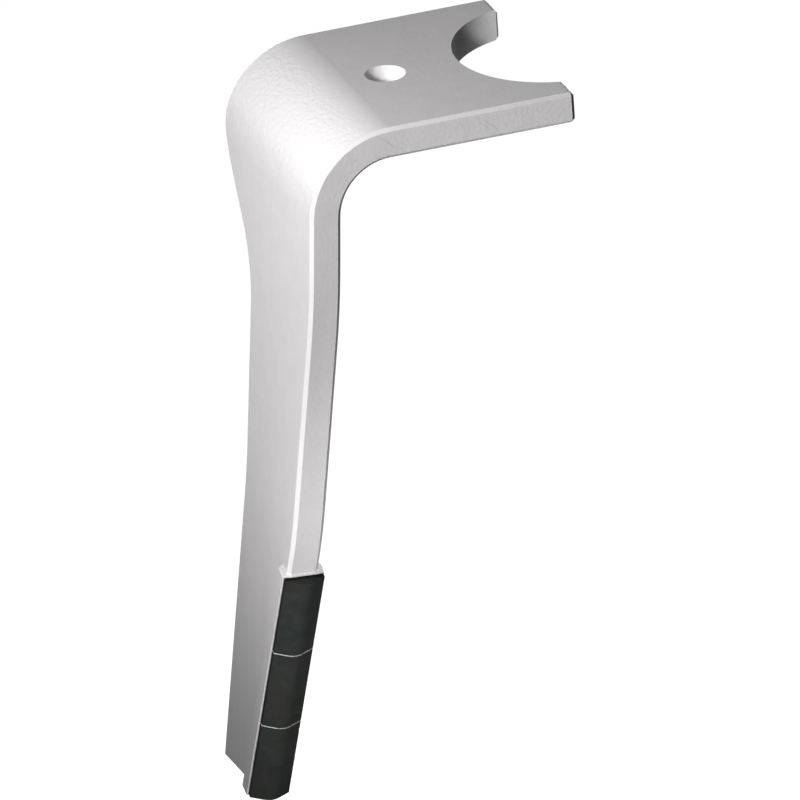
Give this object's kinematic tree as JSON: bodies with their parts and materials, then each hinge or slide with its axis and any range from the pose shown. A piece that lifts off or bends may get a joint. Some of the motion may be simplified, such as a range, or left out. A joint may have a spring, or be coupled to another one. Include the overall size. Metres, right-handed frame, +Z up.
{
  "type": "harrow tine",
  "caption": "Forged L-shaped harrow tine: a bolted flange with a half-round notch, and a tapered shank whose swept leading edge carries brazed roof-shaped carbide plates.",
  "frame": {"origin": "on the bolt hole's axis, in the flange's top face, which is the mounting face", "axes": "+Z up along the bolt hole, out of the mounting face; +X towards the flange's notched free end; -Y is the leading side, where the carbide plates are; the shank hangs down at -X"},
  "size_m": [0.1322, 0.105, 0.306],
  "materials": {
    "forged_steel": "forged, linished and lightly brushed satin",
    "sintered_carbide": "sintered, dark satin",
    "braze_metal": "silver braze, flowed and dull"
  },
  "bodies": {
    "root": {"tine_body": "forged_steel", "carbide_plate_upper": "sintered_carbide", "carbide_plate_middle": "sintered_carbide", "carbide_plate_lower": "sintered_carbide", "braze_filler": "braze_metal"}
  },
  "joints": []
}
